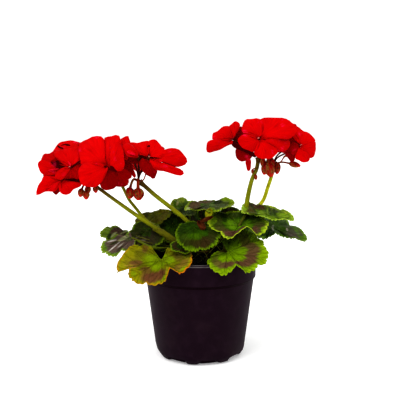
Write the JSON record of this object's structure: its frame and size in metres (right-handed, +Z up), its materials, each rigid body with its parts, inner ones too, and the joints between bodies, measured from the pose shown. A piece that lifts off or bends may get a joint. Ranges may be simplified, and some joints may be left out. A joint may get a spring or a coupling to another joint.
{
  "type": "potted geranium",
  "caption": "Red zonal geranium in a round tapered nursery pot, with scalloped zoned leaves and domed flower heads on long stalks.",
  "frame": {"origin": "middle of the pot's underside, on the surface that it stands on", "axes": "+Z up the pot's axis, +X to the right in the picture, along the plant's widest spread, and -Y towards the viewer"},
  "size_m": [0.2689, 0.1653, 0.2433],
  "materials": {
    "pot_plastic": "thin moulded plastic, dark purplish black, satin, with a paler worn lip",
    "peat": "dark damp peat with crumbs and fibres",
    "stem": "fleshy green stems and leaf stalks with fine hairs, browner towards the soil",
    "leaf": "soft matt leaf with a brown-purple horseshoe zone, palmate veins and a yellow-green crenate rim",
    "flower_stalk": "hairy olive green stalks turning red-brown near the flowers, with dark red calyces and buds",
    "petal": "velvety scarlet petals with fine veins, a pink sheen and darker undersides"
  },
  "bodies": {
    "root": {"pot": "pot_plastic", "soil": "peat", "stems": "stem", "leaf_back_centre": "leaf", "leaf_back_left": "leaf", "leaf_back_right": "leaf", "leaf_back_upper_left": "leaf", "leaf_back_upper_right": "leaf", "leaf_centre": "leaf", "leaf_far_left": "leaf", "leaf_far_right": "leaf", "leaf_front_left": "leaf", "leaf_front_right": "leaf", "leaf_inner_back": "leaf", "leaf_inner_left": "leaf", "leaf_inner_right": "leaf", "leaf_low_left": "leaf", "leaf_middle_right": "leaf", "leaf_olive_left": "leaf", "leaf_rim_right": "leaf", "leaf_shade_left": "leaf", "leaf_top_centre": "leaf", "leaf_top_left": "leaf", "leaf_upper_right": "leaf", "leaf_young_front": "leaf", "stalk_left_back": "flower_stalk", "stalk_left_inner": "flower_stalk", "stalk_left_outer": "flower_stalk", "stalk_right_main": "flower_stalk", "stalk_right_young": "flower_stalk", "petals_left_back_1": "petal", "petals_left_back_2": "petal", "petals_left_back_3": "petal", "petals_left_inner_1": "petal", "petals_left_inner_2": "petal", "petals_left_inner_3": "petal", "petals_left_outer_1": "petal", "petals_left_outer_2": "petal", "petals_left_outer_3": "petal", "petals_right_main_1": "petal", "petals_right_main_2": "petal", "petals_right_main_3": "petal", "petals_right_main_4": "petal", "petals_right_main_5": "petal", "petals_right_main_6": "petal", "petals_right_young_1": "petal"}
  },
  "joints": []
}
